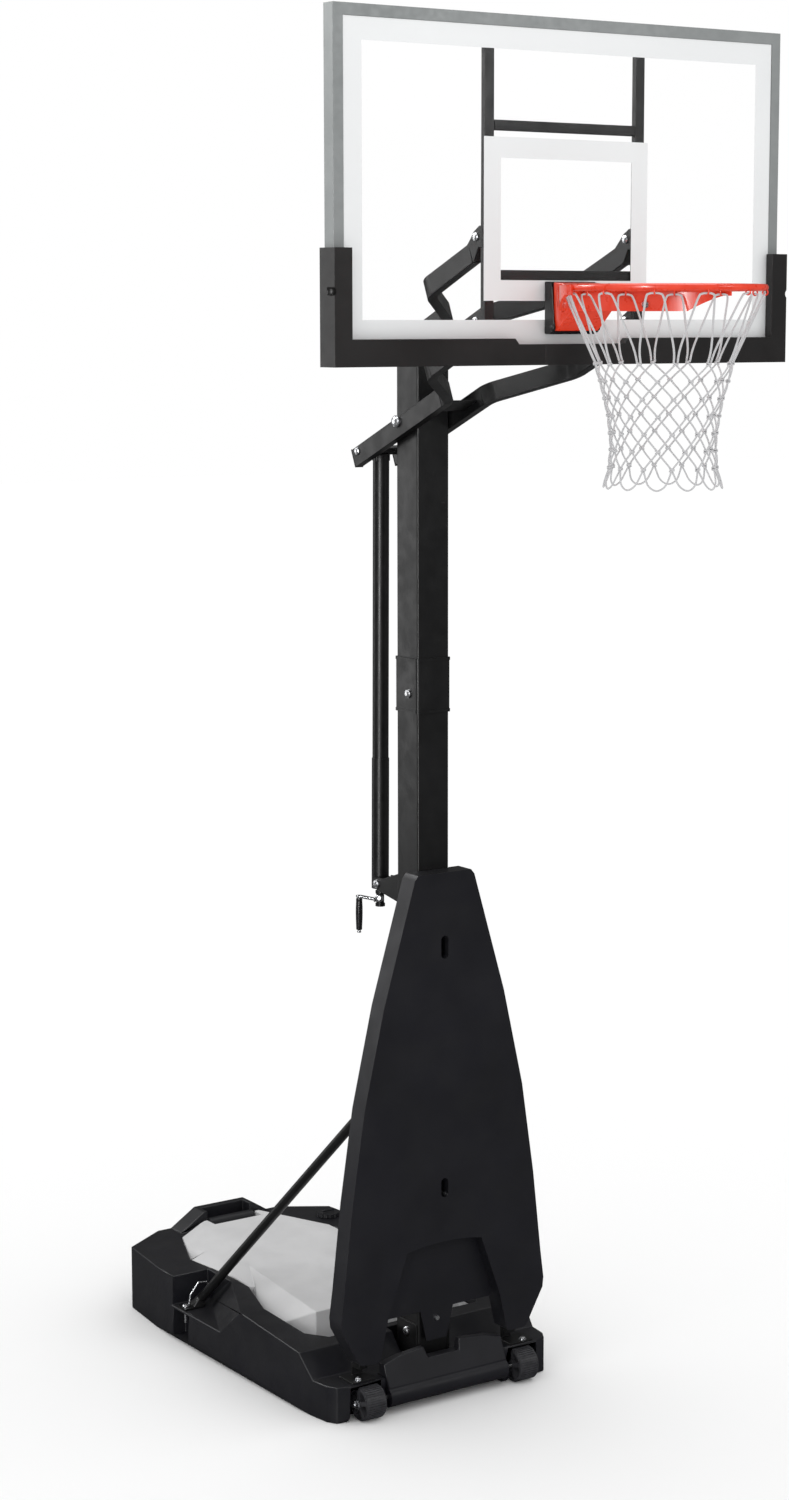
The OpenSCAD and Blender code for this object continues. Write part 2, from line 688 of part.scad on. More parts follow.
module crank_grip() color("#1c1c1e") at_crank() translate([crank_len, 0, -102])
  rotate_extrude($fn = fine)
    polygon([[4.08, 0], [7.6, 0], [8.4, 2], [8.6, 10], [9.4, 30], [9.8, 48], [9.6, 66], [8.8, 82],
             [9, 88], [8.2, 90], [4.08, 90]]);

// ---------- board ----------

// hollow upright with two pairs of pivot lugs on its back
module upright(s) color(black) difference() {
  union() {
    difference() {
      box_at(s * upright_x, upright_y, 3251, [2 * upright_half, upright_d, 722]);
      box_at(s * upright_x, upright_y, 3251, [2 * upright_half - 4, upright_d - 4, 730]);
    }
    for (z = [front_z, front_z + pivot_gap], t = [-1, 1]) side_bar(2.6, s * upright_x + t * 14.3)
      lug_outline(z);
  }
  for (z = [front_z, front_z + pivot_gap]) rod_x(8.1, 60, s * upright_x, -reach, z);
}
module lug_outline(z) {
  back_y = upright_y + upright_d / 2;
  polygon([[upright_y, z - 26], [back_y + 6, z - 26], [-reach + 10, z - 12], [-reach + 10, z + 12],
           [back_y + 6, z + 26], [upright_y, z + 26]]);
  translate([-reach, z]) circle(r = 15, $fn = fine);
}
module upright_left() upright(-1);
module upright_right() upright(1);

module cross_bar(z) color(black) difference() {
  half = upright_x - upright_half - 1.8;
  translate([-half, upright_y - upright_d / 2, z - 12.5]) cube([2 * half, upright_d, 25]);
  translate([-half - 1, upright_y - upright_d / 2 + 2, z - 10.5]) cube([2 * half + 2, upright_d - 4, 21]);
}
module cross_bar_upper() cross_bar(3430);
module cross_bar_lower() cross_bar(3072);

module front_pivot_bolts() color(steel)
  for (s = [-1, 1], z = [front_z, front_z + pivot_gap]) {
    rod_x(8, 36, s * upright_x, -reach, z);
    dome_x(11, 6, s * (upright_x + 15.8), -reach, z, s);
    dome_x(11, 7, s * (upright_x - 15.8), -reach, z, -s);
  }

module board_panel() color([0.92, 0.95, 0.97, 0.35])
  box_at(0, -board_front + 5, (board_bottom_z + board_top_z) / 2,
         [board_w - 8, 5, board_top_z - board_bottom_z - 8]);

// four mitred lengths of trim channel
module board_frame() color("#b9bbbd") {
  h = board_top_z - board_bottom_z;
  cz = (board_top_z + board_bottom_z) / 2;
  difference() {
    box_at(0, -board_front + trim_d / 2, cz, [board_w, trim_d, h]);
    box_at(0, -board_front + trim_d / 2, cz, [board_w - 2 * trim_w, trim_d + 2, h - 2 * trim_w]);
    // groove that holds the clear panel
    box_at(0, -board_front + 5, cz, [board_w - 7, 5.4, h - 7]);
    // the channel is hollow behind its face
    box_at(0, -board_front + 26, cz, [board_w - 6, trim_d - 13, h - 6]);
  }
}

module board_stripes() color("white") {
  y = -board_front + 2.1;
  cz = (board_top_z + board_bottom_z) / 2;
  inner_w = board_w - 2 * trim_w - 0.6;
  inner_h = board_top_z - board_bottom_z - 2 * trim_w - 0.6;
  difference() {
    box_at(0, y, cz, [inner_w, 0.6, inner_h]);
    translate([-605, y - 2, 2964]) cube([1210, 4, 645.5]);
  }
  difference() {
    translate([-252.5, y - 0.3, 3010]) cube([505, 0.6, 392]);
    translate([-202, y - 2, 3060]) cube([404, 4, 292]);
  }
}

// one of the three pieces of the edge pad, from x0 outward
pad_half = [[0, board_bottom_z - 2], [board_w / 2 + 14, board_bottom_z - 2], [board_w / 2 + 14, 3132],
  [board_w / 2 - 36, 3132], [board_w / 2 - 36, 2919], [176, 2919], [164, 2905], [0, 2905]];
module pad(x0, x1) color("#211f20") difference() {
  intersection() {
    front_slab(65, -board_front - 25) polygon(pad_half);
    translate([x0, -board_front - 40, board_bottom_z - 10]) cube([x1 - x0, 120, 400]);
  }
  // channel that grips the trim, and the notch in the outer side
  translate([-1, -board_front - 0.3, board_bottom_z - 0.3]) cube([board_w / 2 + 1.3, 200, 400]);
  translate([board_w / 2 + 21, -board_front + 8, 3030]) rotate([90, 0, 0])
    cylinder(r = 12, h = 60, $fn = fine);
}
module pad_right() pad(83.2, 800);
module pad_left() mirror([1, 0, 0]) pad(83.2, 800);
module pad_centre() for (s = [0, 1]) mirror([s, 0, 0]) pad(0, 82.8);

// ---------- rim ----------

hinge_y = -board_front - 34;              // the rim folds down about its lower back edge
hinge_z = 2945;
wing_r = ring_r + rod_d / 2 + 0.1;        // inner radius of the band behind the ring

// mounting plate with two cheeks that carry the hinge pin
module rim_back_plate() color(black) difference() {
  union() {
    box_at(0, -board_front - 13.4, 2993, [140, 26, 128]);
    for (s = [-1, 1]) side_bar(4, s * 68)
      polygon([[-board_front - 20, 2930], [-board_front - 38, 2934], [-board_front - 42, 2946],
               [-board_front - 38, 2960], [-board_front - 31, 3040], [-board_front - 20, 3057]]);
  }
  for (x = plate_bolt_x, z = plate_bolt_z) translate([x, -board_front + 1, z]) rotate([90, 0, 0])
    cylinder(r = 5.2, h = 60, $fn = fine);
  rod_x(5.05, 160, 0, hinge_y, hinge_z);
}
plate_bolt_x = [-47, 47];
plate_bolt_z = [2974, 3034];

module rim_plate_bolts() color(steel) for (x = plate_bolt_x, z = plate_bolt_z)
  translate([x, -board_front, z]) rotate([90, 0, 0]) {
    cylinder(r = 5, h = 27, $fn = fine);
    translate([0, 0, 26.6]) cylinder(d = 17, h = 5, $fn = 6);
  }

module rim_hinge_pin() color(steel) {
  rod_x(5, 144, 0, hinge_y, hinge_z);
  for (s = [-1, 1]) dome_x(8, 4, s * 70.4, hinge_y, hinge_z, s);
}

module rim_springs() color(steel) for (x = [-23, 23])
  translate([x, -board_front - 26.6, 3008]) rotate([90, 0, 0]) difference() {
    cylinder(r = 12, h = 22, $fn = fine);
    translate([0, 0, -1]) cylinder(r = 8.5, h = 30, $fn = fine);
  }

// hollow housing, deep at the board and sloping up to the band behind the ring
module rim_housing() color(red) difference() {
  intersection() {
    side_bar(130)
      polygon([[-661, 2937], [-661, 3055], [-700, 3052], [-772, 3049], [-772, 3012], [-752, 3000],
               [-684, 2946], [-672, 2937]]);
    translate([0, 0, 2900]) linear_extrude(300)
      polygon([[-65, -640], [-65, -690], [-56, -780], [56, -780], [65, -690], [65, -640]]);
  }
  // the inside, open to the back and to the bottom
  side_bar(118)
    polygon([[-640, 2930], [-640, 3049], [-744, 3044], [-748, 3008], [-682, 2953], [-674, 2945],
             [-670, 2930]]);
  // sunk panels in both sides
  for (s = [-1, 1]) side_bar(6, s * 66)
    polygon([[-676, 2998], [-676, 3040], [-735, 3038], [-735, 3006], [-722, 2998]]);
  rod_x(5.05, 160, 0, hinge_y, hinge_z);
  rod_x(4, 160, 0, -698, 2986);
  translate([0, ring_y, 2900]) cylinder(r = wing_r + 5.1, h = 300, $fn = 128);
}

// curved band that wraps the back of the ring
wing_bolt_turn = 28;
wing_bolt_z = 3002;
module rim_wing() color(red) difference() {
  translate([0, ring_y, 0]) difference() {
    translate([0, 0, 2985]) cylinder(r = wing_r + 5, h = ring_z + 5 - 2985, $fn = 128);
    translate([0, 0, 2980]) cylinder(r = wing_r, h = 100, $fn = 128);
    translate([-400, -700, 2900]) cube([800, 700 + 44, 300]);
    // slanting lower edges at both ends
    for (s = [-1, 1]) mirror([s < 0 ? 1 : 0, 0, 0]) front_slab(800, -400)
      polygon([[194, 2980], [194, 2985], [236, 3022], [270, 3022], [270, 2980]]);
  }
  for (s = [-1, 1]) translate([0, ring_y, wing_bolt_z]) rotate([0, 0, s * wing_bolt_turn])
    rotate([-90, 0, 0]) cylinder(r = 5.2, h = 300, $fn = fine);
}
module rim_bolts() color(steel) for (s = [-1, 1])
  translate([0, ring_y, wing_bolt_z]) rotate([0, 0, s * wing_bolt_turn]) rotate([-90, 0, 0])
    translate([0, 0, wing_r]) rotate_extrude($fn = fine)
      polygon([[0, -8], [6, -8], [9, -5], [9, -0.2], [5, -0.2], [5, 16], [0, 16]]);

module rim_ring() color(red) translate([0, ring_y, ring_z]) {
  rotate_extrude($fn = 128) translate([ring_r, 0]) circle(r = rod_d / 2, $fn = 32);
  // net hooks under the rod
  for (i = [0:11]) rotate(15 + 30 * i) translate([ring_r, 0, -rod_d / 2 - 3.5])
    rotate([90, 0, 0]) rotate_extrude($fn = 24) translate([6, 0]) circle(r = 2, $fn = 16);
}

// net as one thin open sleeve
module net() color("white") translate([0, ring_y, 0]) rotate_extrude($fn = 64)
  polygon([[ring_r - 10, 3020], [168, 2862], [136, 2760], [126, 2665], [134, 2610], [147, 2566],
           [142, 2566], [129, 2610], [121, 2665], [131, 2760], [163, 2862], [ring_r - 15, 3020]]);

base_tank();
ballast_insert();
filler_cap();
front_crossbar();
wheel_axle();
axle_nuts();
wheel_left();
wheel_right();
leg_left();
leg_right();
leg_bolts();
pole_foot();
strut_left();
strut_right();
strut_bolts();
strut_bails();
front_cover();
cover_bolts();
lower_pole();
upper_pole();
pole_coupler();
through_bolts();
pole_cap();
jack_bracket();
pole_pivot_bolts();
lower_arm_left();
lower_arm_right();
arm_cross_plate();
rear_stub_bolts();
upper_arm_left();
upper_arm_right();
jack_outer_tube();
jack_foot();
jack_inner_tube();
jack_eye();
jack_nut();
jack_screw();
crank_hub();
crank_arm();
crank_grip();
upright_left();
upright_right();
cross_bar_upper();
cross_bar_lower();
front_pivot_bolts();
board_panel();
board_frame();
board_stripes();
pad_left();
pad_centre();
pad_right();
rim_back_plate();
rim_plate_bolts();
rim_hinge_pin();
rim_springs();
rim_housing();
rim_wing();
rim_bolts();
rim_ring();
net();
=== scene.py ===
"""Looks of the portable basketball hoop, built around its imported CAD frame.

Metres, +Z up, the playing side faces -Y. Sections: materials, mesh helpers, pieces, camera, light.
"""
import json
import math

import bmesh
import bpy
import numpy as np
from mathutils import Euler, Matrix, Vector


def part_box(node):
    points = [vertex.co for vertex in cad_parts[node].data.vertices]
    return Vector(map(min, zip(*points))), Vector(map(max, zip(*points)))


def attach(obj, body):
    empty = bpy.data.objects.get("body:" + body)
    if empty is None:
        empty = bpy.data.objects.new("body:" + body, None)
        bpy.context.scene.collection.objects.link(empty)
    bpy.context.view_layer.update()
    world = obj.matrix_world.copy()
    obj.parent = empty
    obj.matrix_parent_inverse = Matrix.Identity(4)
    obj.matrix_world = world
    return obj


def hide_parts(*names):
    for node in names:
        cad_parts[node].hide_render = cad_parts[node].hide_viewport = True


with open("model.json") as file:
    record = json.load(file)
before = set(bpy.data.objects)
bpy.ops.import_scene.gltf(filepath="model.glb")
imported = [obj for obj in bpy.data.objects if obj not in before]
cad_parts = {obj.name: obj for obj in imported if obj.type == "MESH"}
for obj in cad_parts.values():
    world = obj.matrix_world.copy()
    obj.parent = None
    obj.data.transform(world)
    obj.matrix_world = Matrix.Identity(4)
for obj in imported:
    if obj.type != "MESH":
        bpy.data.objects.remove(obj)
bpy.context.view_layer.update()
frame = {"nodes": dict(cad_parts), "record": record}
scene = bpy.context.scene
nodes_of_frame = frame["nodes"]

ALONG = "along"  # the UV map of tubes, in metres along and around them

# ---------------------------------------------------------------- materials

# noise values gather around 0.5, so this part of their range holds nearly all of the texture
NOISE_LOW = 0.35
NOISE_HIGH = 0.65


def make(name, base, roughness, metallic=0.0, specular=0.5):
    """A Principled material; returns it with its node tree and shader."""
    material = bpy.data.materials.new(name)
    material.use_nodes = True
    tree = material.node_tree
    shader = tree.nodes["Principled BSDF"]
    shader.inputs["Base Color"].default_value = (*base, 1)
    shader.inputs["Roughness"].default_value = roughness
    shader.inputs["Metallic"].default_value = metallic
    shader.inputs["Specular IOR Level"].default_value = specular
    return material, tree, shader


def noise(tree, scale, detail, stretch=(1, 1, 1)):
    """Noise over the object's own coordinates, in cycles per metre."""
    coords = tree.nodes.new("ShaderNodeTexCoord")
    mapping = tree.nodes.new("ShaderNodeMapping")
    mapping.inputs["Scale"].default_value = stretch
    texture = tree.nodes.new("ShaderNodeTexNoise")
    texture.inputs["Scale"].default_value = scale
    texture.inputs["Detail"].default_value = detail
    tree.links.new(coords.outputs["Object"], mapping.inputs["Vector"])
    tree.links.new(mapping.outputs["Vector"], texture.inputs["Vector"])
    return texture.outputs["Fac"]


def spread(tree, value, low, high):
    """Maps a texture value to the range low..high."""
    node = tree.nodes.new("ShaderNodeMapRange")
    node.inputs["From Min"].default_value = NOISE_LOW
    node.inputs["From Max"].default_value = NOISE_HIGH
    node.inputs["To Min"].default_value = low
    node.inputs["To Max"].default_value = high
    tree.links.new(value, node.inputs["Value"])
    return node.outputs["Result"]


def tint(tree, shader, value, dark, light):
    """Varies the base colour between two close tones."""
    ramp = tree.nodes.new("ShaderNodeValToRGB")
    ramp.color_ramp.elements[0].position = NOISE_LOW
    ramp.color_ramp.elements[0].color = (*dark, 1)
    ramp.color_ramp.elements[1].position = NOISE_HIGH
    ramp.color_ramp.elements[1].color = (*light, 1)
    tree.links.new(value, ramp.inputs["Fac"])
    tree.links.new(ramp.outputs["Color"], shader.inputs["Base Color"])


def bump(tree, shader, value, strength, depth):
    """Adds a bump to the shader's normal, after any bump already there."""
    node = tree.nodes.new("ShaderNodeBump")
    node.inputs["Strength"].default_value = strength
    node.inputs["Distance"].default_value = depth
    tree.links.new(value, node.inputs["Height"])
    socket = shader.inputs["Normal"]
    if socket.links:
        tree.links.new(socket.links[0].from_socket, node.inputs["Normal"])
    tree.links.new(node.outputs["Normal"], socket)


def black_steel():
    """Satin powder coat: nearly black, with orange peel and slightly uneven gloss."""
    material, tree, shader = make("black_steel", (0.010, 0.010, 0.011), 0.36, specular=0.4)
    tint(tree, shader, noise(tree, 9, 4), (0.0050, 0.0050, 0.0054), (0.0082, 0.0082, 0.0088))
    tree.links.new(spread(tree, noise(tree, 26, 4), 0.31, 0.42), shader.inputs["Roughness"])
    bump(tree, shader, noise(tree, 520, 2), 0.16, 0.0004)
    bump(tree, shader, noise(tree, 1900, 1), 0.10, 0.0002)
    return material


def black_plastic():
    """Blow-moulded polyethylene: blue-black, fine grain over slow ripples."""
    material, tree, shader = make("black_plastic", (0.010, 0.010, 0.013), 0.44, specular=0.4)
    tint(tree, shader, noise(tree, 5, 5), (0.0070, 0.0070, 0.0110), (0.0095, 0.0095, 0.0145))
    tree.links.new(spread(tree, noise(tree, 14, 5), 0.40, 0.52), shader.inputs["Roughness"])
    bump(tree, shader, noise(tree, 7, 2), 0.12, 0.006)
    bump(tree, shader, noise(tree, 1100, 2), 0.22, 0.0004)
    return material


def grey_plastic():
    """The same plastic, light grey, with faint flow marks."""
    material, tree, shader = make("grey_plastic", (0.61, 0.61, 0.615), 0.5)
    tint(tree, shader, noise(tree, 6, 6), (0.58, 0.58, 0.585), (0.64, 0.64, 0.645))
    tree.links.new(spread(tree, noise(tree, 18, 4), 0.44, 0.58), shader.inputs["Roughness"])
    bump(tree, shader, noise(tree, 8, 2), 0.12, 0.006)
    bump(tree, shader, noise(tree, 1000, 2), 0.2, 0.0004)
    return material


def wheel_plastic():
    """Hard plastic tread, a little dusty."""
    material, tree, shader = make("wheel_plastic", (0.02, 0.02, 0.023), 0.42, specular=0.4)
    tint(tree, shader, noise(tree, 60, 5), (0.026, 0.026, 0.030), (0.042, 0.042, 0.047))
    tree.links.new(spread(tree, noise(tree, 90, 4), 0.36, 0.5), shader.inputs["Roughness"])
    bump(tree, shader, noise(tree, 1500, 2), 0.15, 0.0003)
    return material


def zinc_steel():
    """Bright zinc plate with fine brushing."""
    material, tree, shader = make("zinc_steel", (0.70, 0.71, 0.73), 0.24, metallic=1.0)
    tint(tree, shader, noise(tree, 140, 4), (0.60, 0.61, 0.63), (0.78, 0.79, 0.81))
    tree.links.new(spread(tree, noise(tree, 260, 4), 0.18, 0.34), shader.inputs["Roughness"])
    bump(tree, shader, noise(tree, 900, 2, stretch=(1, 1, 6)), 0.08, 0.0002)
    return material


def brass_nut():
    """Turned brass with fine brushing."""
    material, tree, shader = make("brass_nut", (0.68, 0.48, 0.18), 0.28, metallic=1.0)
    tint(tree, shader, noise(tree, 120, 4), (0.58, 0.40, 0.14), (0.74, 0.54, 0.22))
    bump(tree, shader, noise(tree, 1200, 2, stretch=(1, 1, 8)), 0.1, 0.0002)
    return material


def grip_plastic():
    """Smooth dark grip with slight mould marks."""
    material, tree, shader = make("grip_plastic", (0.010, 0.010, 0.012), 0.26)
    tint(tree, shader, noise(tree, 80, 4), (0.008, 0.008, 0.009), (0.014, 0.014, 0.016))
    tree.links.new(spread(tree, noise(tree, 120, 3), 0.22, 0.34), shader.inputs["Roughness"])
    bump(tree, shader, noise(tree, 700, 2), 0.08, 0.0003)
    return material


def clear_acrylic():
    """Clear sheet: mostly see-through, with a faint haze and glossy face."""
    material, tree, shader = make("clear_acrylic", (0.93, 0.95, 0.96), 0.06)
    tree.links.new(spread(tree, noise(tree, 3, 3), 0.003, 0.007), shader.inputs["Alpha"])
    tree.links.new(spread(tree, noise(tree, 5, 3), 0.04, 0.08), shader.inputs["Roughness"])
    material.surface_render_method = "BLENDED"
    return material


def trim_aluminium():
    """Satin anodised trim, drawn along its length."""
    material, tree, shader = make("trim_aluminium", (0.26, 0.275, 0.275), 0.36, metallic=0.2)
    tint(tree, shader, noise(tree, 12, 5), (0.245, 0.26, 0.26), (0.275, 0.29, 0.29))
    tree.links.new(spread(tree, noise(tree, 60, 4), 0.38, 0.5), shader.inputs["Roughness"])
    bump(tree, shader, noise(tree, 1400, 2), 0.06, 0.0002)
    return material


def white_print():
    """Screen-printed white, flat and even."""
    material, tree, shader = make("white_print", (0.85, 0.865, 0.87), 0.32)
    tint(tree, shader, noise(tree, 3, 3), (0.84, 0.856, 0.861), (0.86, 0.876, 0.881))
    shader.inputs["Alpha"].default_value = 0.93
    bump(tree, shader, noise(tree, 900, 2), 0.04, 0.0001)
    return material


def pad_vinyl():
    """Moulded foam with a satin skin, slightly warm black."""
    material, tree, shader = make("pad_vinyl", (0.011, 0.0095, 0.0095), 0.4, specular=0.4)
    tint(tree, shader, noise(tree, 8, 5), (0.0085, 0.0072, 0.0072), (0.0135, 0.0115, 0.0115))
    tree.links.new(spread(tree, noise(tree, 22, 4), 0.34, 0.46), shader.inputs["Roughness"])
    bump(tree, shader, noise(tree, 6, 2), 0.10, 0.005)
    bump(tree, shader, noise(tree, 1300, 2), 0.2, 0.0003)
    return material


def red_steel():
    """Glossy orange-red powder coat with orange peel."""
    material, tree, shader = make("red_steel", (0.84, 0.045, 0.012), 0.3)
    tint(tree, shader, noise(tree, 20, 4), (0.80, 0.040, 0.010), (0.90, 0.055, 0.016))
    tree.links.new(spread(tree, noise(tree, 40, 4), 0.24, 0.36), shader.inputs["Roughness"])
    shader.inputs["Coat Weight"].default_value = 0.25
    shader.inputs["Coat Roughness"].default_value = 0.15
    bump(tree, shader, noise(tree, 420, 2), 0.12, 0.0004)
    return material


BRAID_SLOPE = math.radians(38)


def strands(tree, slope):
    """Bands across the cord at one slope, over the UV map that runs along it."""
    uv = tree.nodes.new("ShaderNodeUVMap")
    uv.uv_map = ALONG
    mapping = tree.nodes.new("ShaderNodeMapping")
    mapping.inputs["Rotation"].default_value = (0, 0, slope)
    wave = tree.nodes.new("ShaderNodeTexWave")
    wave.inputs["Scale"].default_value = 150
    wave.inputs["Distortion"].default_value = 0.6
    tree.links.new(uv.outputs["UV"], mapping.inputs["Vector"])
    tree.links.new(mapping.outputs["Vector"], wave.inputs["Vector"])
    return wave.outputs["Fac"]


def net_cord():
    """Braided cord: bands that cross the cord's length, darker in the grooves between the strands as painted
    shade, with soft fuzz.
    """
    material, tree, shader = make("net_cord", (0.50, 0.50, 0.51), 0.75)
    weave = tree.nodes.new("ShaderNodeMath")
    weave.operation = "MAXIMUM"
    tree.links.new(strands(tree, BRAID_SLOPE), weave.inputs[0])
    tree.links.new(strands(tree, -BRAID_SLOPE), weave.inputs[1])
    braid = weave.outputs["Value"]
    # the tone follows the braid's bump, darker where it is low: painted shade in the grooves between the
    # strands
    tint(tree, shader, braid, (0.30, 0.30, 0.31), (0.66, 0.66, 0.67))
    bump(tree, shader, braid, 0.6, 0.0006)
    bump(tree, shader, noise(tree, 2500, 2), 0.3, 0.0003)
    shader.inputs["Sheen Weight"].default_value = 0.3
    shader.inputs["Sheen Roughness"].default_value = 0.5
    return material


MAKERS = [black_steel, black_plastic, grey_plastic, wheel_plastic, zinc_steel, brass_nut, grip_plastic,
          clear_acrylic, trim_aluminium, white_print, pad_vinyl, red_steel, net_cord]
MATERIALS = {maker.__name__: maker() for maker in MAKERS}
SLOT_OF = {part["node"]: part["material_slot"] for part in frame["record"]["subparts"]}


def dress_nodes():
    """Every CAD node takes the material of its slot in the record."""
    for name, node in nodes_of_frame.items():
        node.data.materials.clear()
        node.data.materials.append(MATERIALS[SLOT_OF[name]])


# ---------------------------------------------------------------- mesh helpers


def piece_of(name, mesh, slot):
    """A new piece in the scene, dressed in its slot's material."""
    piece = bpy.data.objects.new(name, mesh)
    scene.collection.objects.link(piece)
    mesh.materials.clear()
    mesh.materials.append(MATERIALS[slot])
    return piece


def body_with(node):
    """The body that a CAD node moves with."""
    for body, members in frame["record"]["behaviour"]["bodies"].items():
        if node in members:
            return body
    raise KeyError(node)


def apply_modifiers(piece):
    """Bakes a piece's modifiers into its mesh."""
    graph = bpy.context.evaluated_depsgraph_get()
    mesh = bpy.data.meshes.new_from_object(piece.evaluated_get(graph))
    piece.modifiers.clear()
    piece.data = mesh


def mesh_from(work, name):
    """Turns a finished bmesh into a mesh."""
    mesh = bpy.data.meshes.new(name)
    work.to_mesh(mesh)
    work.free()
    return mesh


SAME_PLACE = 2e-6  # metres: closer corners are one corner
FLAT = math.radians(0.6)  # faces that turn less than this are one face
TURN = math.radians(28)  # edges that turn more than this are rounded
SHARP = math.radians(40)  # edges that turn more than this stay sharp in the shading
ROOM_FOR_ROUND = 2.4  # an edge is rounded if it is longer than this many widths
ROUND_SEGMENTS = 3


def joined_faces(node):
    """A CAD node as a bmesh, with the triangles of each flat face joined."""
    work = bmesh.new()
    work.from_mesh(nodes_of_frame[node].data)
    bmesh.ops.remove_doubles(work, verts=work.verts, dist=SAME_PLACE)
    bmesh.ops.dissolve_limit(work, angle_limit=FLAT, verts=work.verts, edges=work.edges)
    return work


def mark_edges(work, width):
    """Marks the edges to round: only those with room for it, so small holes keep their shape."""
    weight = work.edges.layers.float.new("bevel_weight_edge")
    for edge in work.edges:
        turns = len(edge.link_faces) == 2 and edge.calc_face_angle() > TURN
        edge[weight] = float(turns and edge.calc_length() > ROOM_FOR_ROUND * width)


def smooth(piece):
    """Smooth shading, apart from the sharp edges."""
    mesh = piece.data
    mesh.polygons.foreach_set("use_smooth", np.ones(len(mesh.polygons), bool))
    mesh.set_sharp_from_angle(angle=SHARP)


def round_edges(piece, width, limited):
    """Rounds the marked edges. A limited round shrinks to what the tightest edge has room for."""
    bevel = piece.modifiers.new("round", "BEVEL")
    bevel.width = width
    bevel.segments = ROUND_SEGMENTS
    bevel.limit_method = "WEIGHT"
    bevel.use_clamp_overlap = limited
    apply_modifiers(piece)


def shade_by_area(piece):
    """Lets the large faces set the shading, so that they look flat beside their rounds."""
    flat_faces = piece.modifiers.new("flat_faces", "WEIGHTED_NORMAL")
    flat_faces.mode = "FACE_AREA"
    flat_faces.weight = 100
    flat_faces.keep_sharp = True
    apply_modifiers(piece)


def rounded(node, width):
    """A copy of a CAD node with its edges rounded, which stands for the node."""
    work = joined_faces(node)
    mark_edges(work, width)
    piece = piece_of(node + "_soft", mesh_from(work, node + "_soft"), SLOT_OF[node])
    round_edges(piece, width, node in LIMITED_ROUNDS)
    smooth(piece)
    shade_by_area(piece)
    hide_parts(node)
    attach(piece, body_with(node))
    return piece


TUBE_SIDES = 8
UV_GIRTH = 2 * math.pi * 0.0025  # one girth for all tubes, so that the braid looks the same on each


def tube_rings(work, points, radius, closed):
    """A ring of corners around each point of a route, twisted as little as possible."""
    rings = []
    normal = None
    last = len(points) - 1
    for i, point in enumerate(points):
        before = points[i - 1] if i or closed else point
        after = points[(i + 1) % len(points)] if i < last or closed else point
        tangent = (after - before).normalized()
        if normal is None:
            normal = tangent.orthogonal().normalized()
        normal = (normal - tangent * normal.dot(tangent)).normalized()
        side = tangent.cross(normal)
        ring = []
        for k in range(TUBE_SIDES):
            turn = 2 * math.pi * k / TUBE_SIDES
            ring.append(work.verts.new(point + radius * (math.cos(turn) * normal + math.sin(turn) * side)))
        rings.append(ring)
    return rings


def lengths_along(points):
    """The distance along a route to each of its points, and last the one back to the first."""
    travelled = [0.0]
    for before, after in zip(points, points[1:]):
        travelled.append(travelled[-1] + (after - before).length)
    travelled.append(travelled[-1] + (points[0] - points[-1]).length)
    return travelled


def tube_walls(work, along, rings, travelled, closed):
    """Faces between neighbouring rings, with their place on the UV map."""
    count = len(rings)
    for i in range(count if closed else count - 1):
        here = rings[i]
        there = rings[(i + 1) % count]
        start = travelled[i]
        end = travelled[i + 1]
        for k in range(TUBE_SIDES):
            m = (k + 1) % TUBE_SIDES
            face = work.faces.new((here[k], here[m], there[m], there[k]))
            face.smooth = True
            corners = ((start, k), (start, k + 1), (end, k + 1), (end, k))
            for loop, (distance, step) in zip(face.loops, corners):
                loop[along].uv = (distance, step / TUBE_SIDES * UV_GIRTH)


def tube_mesh(name, routes):
    """One mesh of round tubes. A route is (points, radius, closed)."""
    work = bmesh.new()
    along = work.loops.layers.uv.new(ALONG)
    for route, radius, closed in routes:
        points = [Vector(p) for p in route]
        rings = tube_rings(work, points, radius, closed)
        tube_walls(work, along, rings, lengths_along(points), closed)
        if not closed:
            work.faces.new(list(reversed(rings[0])))
            work.faces.new(rings[-1])
    bmesh.ops.recalc_face_normals(work, faces=work.faces)
    return mesh_from(work, name)


def curve_through(points, steps):
    """Catmull-Rom points through a short list of points."""
    points = [Vector(p) for p in points]
    out = []
    for i in range(len(points) - 1):
        a = points[max(i - 1, 0)]
        b, c = points[i], points[i + 1]
        d = points[min(i + 2, len(points) - 1)]
        for s in range(steps):
            t = s / steps
            out.append(0.5 * (2 * b + (c - a) * t + (2 * a - 5 * b + 4 * c - d) * t ** 2
                              + (3 * b - a - 3 * c + d) * t ** 3))
    out.append(points[-1])
    return out


# ---------------------------------------------------------------- pieces

# the width of each piece's rounds, in metres
SOFT_EDGES = {
    "base_tank": 0.0035, "ballast_insert": 0.004, "front_crossbar": 0.003, "front_cover": 0.006,
    "pad_left": 0.008, "pad_centre": 0.003, "pad_right": 0.008, "filler_cap": 0.002, "board_frame": 0.0012,
    "rim_housing": 0.002, "rim_back_plate": 0.003, "leg_left": 0.001, "leg_right": 0.001,
    "pole_foot": 0.001, "jack_bracket": 0.0008, "arm_cross_plate": 0.001, "crank_arm": 0.0008,
    "lower_arm_left": 0.003, "lower_arm_right": 0.003, "upper_arm_left": 0.003, "upper_arm_right": 0.003,
    "upright_left": 0.0015, "upright_right": 0.0015, "cross_bar_upper": 0.0015, "cross_bar_lower": 0.0015,
}

# These rounds shrink to fit. The others keep their width, and fold over where a face is too narrow for them.
LIMITED_ROUNDS = {"pad_left", "pad_centre", "pad_right", "front_cover"}


def soften_edges():
    """A rounded copy of every node in SOFT_EDGES, by node."""
    return {node: rounded(node, width) for node, width in SOFT_EDGES.items()}


HOOKS = 12
HOOK_STEP = 2 * math.pi / HOOKS
FIRST_HOOK = math.radians(15)

